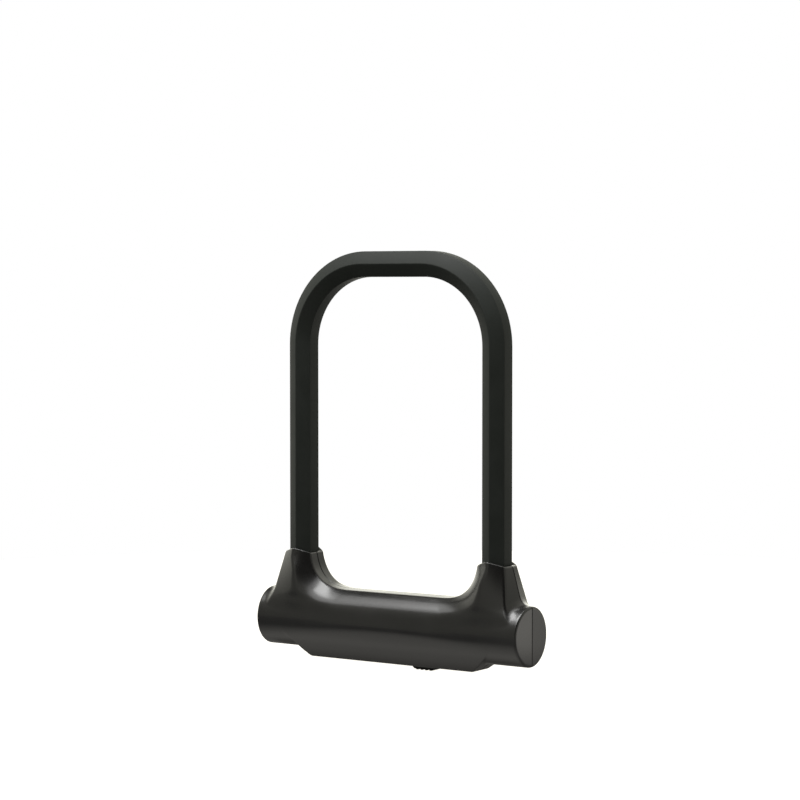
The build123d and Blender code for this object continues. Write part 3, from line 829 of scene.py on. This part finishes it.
def direction(azimuth, elevation):
    """A unit vector: azimuth from the front towards +X, elevation above level, in degrees."""
    turn, lift = math.radians(azimuth), math.radians(elevation)
    return (math.sin(turn) * math.cos(lift), -math.cos(turn) * math.cos(lift), math.sin(lift))


def combine(tree, operation, first, second):
    """Two values, each a number or a socket, put together by a math node."""
    node = tree.nodes.new("ShaderNodeMath")
    node.operation = operation
    for value, socket in zip((first, second), node.inputs):
        if isinstance(value, float):
            socket.default_value = value
        else:
            tree.links.new(value, socket)
    return node.outputs["Value"]


def dot(tree, vector, fixed):
    """A vector's reach along a fixed direction."""
    node = tree.nodes.new("ShaderNodeVectorMath")
    node.operation = "DOT_PRODUCT"
    node.inputs[1].default_value = fixed
    tree.links.new(vector, node.inputs[0])
    return node.outputs["Value"]


def ramp(tree, value, low, high, from_level, to_level):
    """A smooth change from one level to another as value goes from low to high."""
    node = tree.nodes.new("ShaderNodeMapRange")
    node.interpolation_type = "SMOOTHSTEP"
    node.inputs["From Min"].default_value = low
    node.inputs["From Max"].default_value = high
    node.inputs["To Min"].default_value = from_level
    node.inputs["To Max"].default_value = to_level
    tree.links.new(value, node.inputs["Value"])
    return node.outputs["Result"]


def sky_patch(tree, view, azimuth, elevation, core, reach, level):
    """1 over most of the sky, changing to level inside core degrees of a direction."""
    towards = dot(tree, view, direction(azimuth, elevation))
    outside, inside = math.cos(math.radians(reach)), math.cos(math.radians(core))
    return ramp(tree, towards, outside, inside, 1.0, level)


def make_world():
    """White to the camera. As light it is a grey studio, darker and brighter in places."""
    world = bpy.data.worlds.new("studio")
    bpy.context.scene.world = world
    world.use_nodes = True
    tree = world.node_tree
    tree.nodes.clear()
    view = tree.nodes.new("ShaderNodeTexCoord").outputs["Generated"]
    level = SKY_LEVEL
    for patch in SKY_PATCHES:
        level = combine(tree, "MULTIPLY", level, sky_patch(tree, view, *patch))
    light = tree.nodes.new("ShaderNodeBackground")
    light.inputs["Color"].default_value = SKY_COLOUR
    tree.links.new(level, light.inputs["Strength"])
    seen = tree.nodes.new("ShaderNodeBackground")
    seen.inputs["Color"].default_value = (1, 1, 1, 1)
    path = tree.nodes.new("ShaderNodeLightPath")
    mix = tree.nodes.new("ShaderNodeMixShader")
    tree.links.new(path.outputs["Is Camera Ray"], mix.inputs["Fac"])
    tree.links.new(light.outputs["Background"], mix.inputs[1])
    tree.links.new(seen.outputs["Background"], mix.inputs[2])
    out = tree.nodes.new("ShaderNodeOutputWorld")
    tree.links.new(mix.outputs["Shader"], out.inputs["Surface"])


def floor_light(tree):
    """The floor's own light: a pool before the object that fades under its front as painted shadow, and
    brighter behind it.
    """
    place = tree.nodes.new("ShaderNodeTexCoord").outputs["Object"]
    squeeze = tree.nodes.new("ShaderNodeMapping")
    squeeze.inputs["Scale"].default_value = FLOOR_SQUEEZE
    tree.links.new(place, squeeze.inputs["Vector"])
    distance = tree.nodes.new("ShaderNodeVectorMath")
    distance.operation = "LENGTH"
    tree.links.new(squeeze.outputs["Vector"], distance.inputs[0])
    y = dot(tree, place, (0, 1, 0))
    side = dot(tree, place, FLOOR_SIDE_ACROSS)
    pool = ramp(tree, distance.outputs["Value"], *FLOOR_POOL)
    # painted shadow: the pool of glow fades under the object's front
    pool = combine(tree, "MULTIPLY", pool, ramp(tree, y, *FLOOR_UNDER_SHADOW))
    rear = combine(tree, "MULTIPLY", ramp(tree, y, *FLOOR_BACK), ramp(tree, side, *FLOOR_SIDE))
    return combine(tree, "ADD", pool, rear)


def make_floor():
    """A plain pale disc. It looks white, and lights the object from below and behind."""
    outline = circle_points(FLOOR_RADIUS, count=FLOOR_POINTS)
    mesh = bpy.data.meshes.new("floor")
    mesh.from_pydata([(x * MM, y * MM, 0) for x, y in outline], [], [list(range(len(outline)))])
    floor = bpy.data.objects.new("floor", mesh)
    bpy.context.scene.collection.objects.link(floor)
    material, shader = new_material("floor")
    shader.inputs["Base Color"].default_value = FLOOR_GREY
    shader.inputs["Roughness"].default_value = FLOOR_ROUGHNESS
    shader.inputs["Emission Color"].default_value = FLOOR_GLOW
    tree = material.node_tree
    path = tree.nodes.new("ShaderNodeLightPath")
    lift = tree.nodes.new("ShaderNodeMix")
    lift.inputs["B"].default_value = FLOOR_WHITE
    tree.links.new(path.outputs["Is Camera Ray"], lift.inputs["Factor"])
    tree.links.new(floor_light(tree), lift.inputs["A"])
    tree.links.new(lift.outputs["Result"], shader.inputs["Emission Strength"])
    floor.data.materials.append(material)


def make_softbox(name, distance, size, radiance):
    """A square light above the front left, aimed at the crossbar."""
    away = Vector(direction(SOFTBOX_AZIMUTH, SOFTBOX_ELEVATION))
    data = bpy.data.lights.new(name, "AREA")
    data.size = size
    data.energy = radiance * math.pi * size**2
    light = bpy.data.objects.new(name, data)
    light.location = Vector((0, 0, AXIS_Z)) + away * distance
    light.rotation_euler = away.to_track_quat("Z", "Y").to_euler()
    bpy.context.scene.collection.objects.link(light)


def make_studio():
    """Camera, floor and light, shown without a tone curve."""
    make_camera()
    make_world()
    make_floor()
    for name, sizes in SOFTBOXES.items():
        make_softbox(name, *sizes)
    bpy.context.scene.view_settings.view_transform = "Standard"


# ---------------------------------------------------------------- assembly

make_studio()
made = [
    make_shell("front_housing", "front_shell", -1),
    make_shell("rear_housing", "rear_shell", 1),
    make_cover(),
]
dress(made, make_materials())
